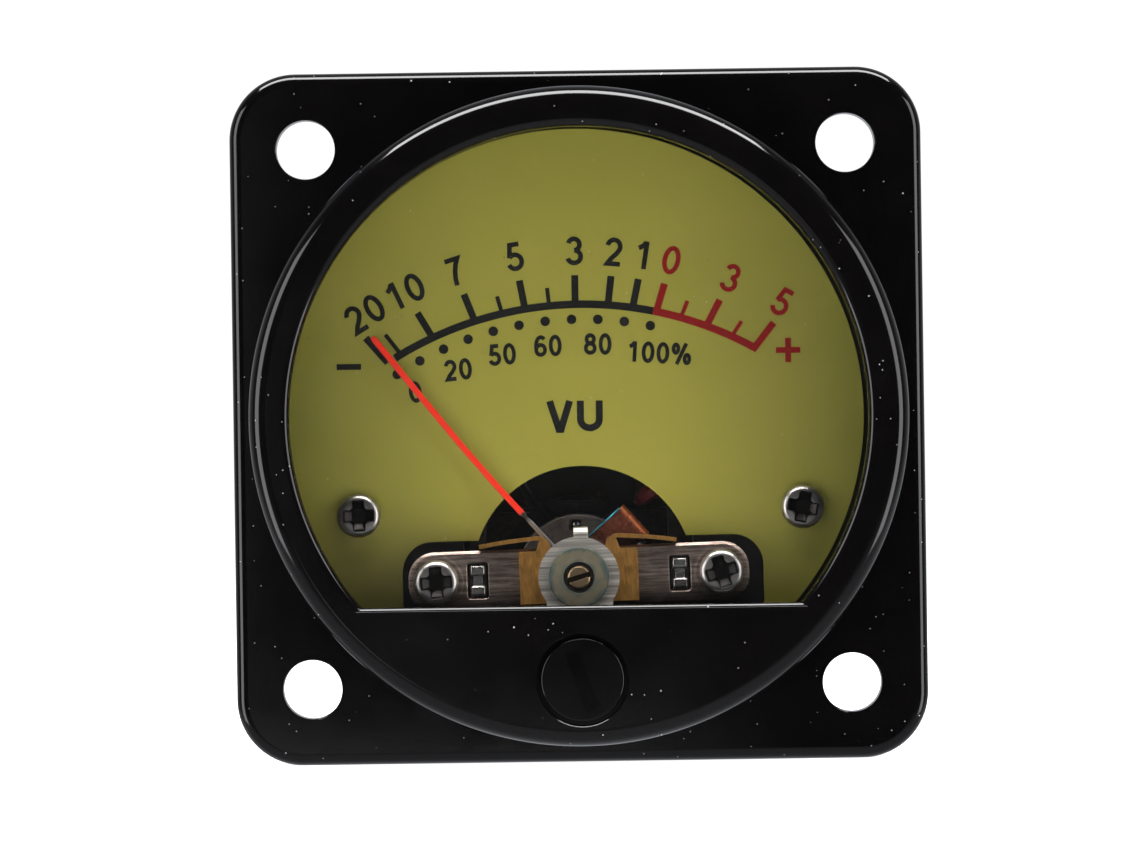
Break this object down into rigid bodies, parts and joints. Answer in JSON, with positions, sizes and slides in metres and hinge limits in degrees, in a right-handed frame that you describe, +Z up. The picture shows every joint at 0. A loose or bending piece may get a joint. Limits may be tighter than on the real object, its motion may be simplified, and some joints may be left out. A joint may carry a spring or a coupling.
{
  "type": "panel meter",
  "caption": "Square-flanged moving-coil VU panel meter with round window, backlit dial, red pointer, zero adjuster and round rear case with terminals.",
  "frame": {"origin": "centre of the flange's rear face, the plane of the panel", "axes": "+Y into the panel, so the dial looks along -Y; +Z up the dial; +X to the viewer's right"},
  "size_m": [0.045, 0.0355, 0.045],
  "materials": {
    "black_gloss": "glossy black moulded cover",
    "black_moulding": "satin black moulding",
    "clear": "clear window",
    "dial": "translucent olive dial with printed scale",
    "nickel": "nickel plate",
    "brushed": "brushed",
    "soft_iron": "plated soft iron",
    "magnet": "sintered magnet",
    "brass": "bright brass",
    "blued_steel": "blackened steel",
    "fibre": "beige fibre",
    "ruby": "synthetic ruby",
    "needle_red": "red lacquer",
    "aluminium": "thin sheet",
    "enamelled_wire": "enamelled copper wire",
    "bronze": "phosphor bronze",
    "board_green": "green solder mask",
    "phosphor": "yellow phosphor",
    "component_black": "epoxy",
    "tinned": "tinned",
    "wire_red": "insulated wire",
    "wire_black": "insulated wire"
  },
  "bodies": {
    "case": {"front_cover": "black_gloss", "window_lens": "clear", "rear_case": "black_moulding", "dial_plate": "dial", "dial_screw_left": "nickel", "dial_screw_right": "nickel", "movement_carrier": "black_moulding", "front_bridge": "nickel", "bridge_screw_left": "nickel", "bridge_screw_right": "nickel", "yoke": "soft_iron", "core_magnet": "magnet", "core_bracket": "brass", "pointer_stop_plate": "brass", "adjuster_bush": "blued_steel", "insulating_washer": "fibre", "jewel_screw_front": "brass", "jewel_screw_rear": "brass", "jewel_front": "ruby", "jewel_rear": "ruby", "rear_spring_anchor": "brass", "hairspring_rear": "bronze", "backlight_board": "board_green", "led_upper_left": "phosphor", "led_upper_right": "phosphor", "led_lower_left": "phosphor", "led_lower_right": "phosphor", "series_resistor": "component_black", "signal_rectifier": "component_black", "board_screw_left": "nickel", "board_screw_right": "nickel", "lamp_pin_left": "tinned", "lamp_pin_right": "tinned", "terminal_stud_left": "brass", "terminal_stud_right": "brass", "solder_lug_left": "tinned", "solder_lug_right": "tinned", "terminal_nut_left": "brass", "terminal_nut_right": "brass", "coil_lead_red": "wire_red", "coil_lead_black": "wire_black", "terminal_lead_red": "wire_red", "terminal_lead_black": "wire_black"},
    "pointer": {"pointer": "needle_red", "pointer_hub": "brass", "balance_weight_left": "brass", "balance_weight_right": "brass", "balance_weight_tail": "brass", "coil_bobbin": "aluminium", "coil_winding": "enamelled_wire", "rear_hub": "brass", "pivot_front": "brushed", "pivot_rear": "brushed"},
    "zero_arm": {"zero_adjuster_arm": "brushed", "hairspring_front": "bronze"},
    "zero_screw": {"zero_adjust_screw": "black_gloss"}
  },
  "joints": [
    {"name": "pointer_swing", "type": "hinge", "parent": "case", "child": "pointer", "pos_m": [-0.00014, 0, -0.01044], "axis": [0, 1, 0], "range_deg": [-1.5, 79], "stiffness_Nm_per_rad": 0.00002, "deforming": ["hairspring_front", "hairspring_rear"]},
    {"name": "zero_screw_turn", "type": "hinge", "parent": "case", "child": "zero_screw", "pos_m": [0, 0, -0.017], "axis": [0, 1, 0], "range_deg": [-60, 60]},
    {"name": "zero_arm_swing", "type": "hinge", "parent": "case", "child": "zero_arm", "pos_m": [-0.00014, 0, -0.01044], "axis": [0, 1, 0], "range_deg": [-5.5, 5.5], "deforming": ["hairspring_front"]}
  ],
  "couplings": [
    {"joint": "zero_arm_swing", "follows": "zero_screw_turn", "ratio": -0.087}
  ]
}
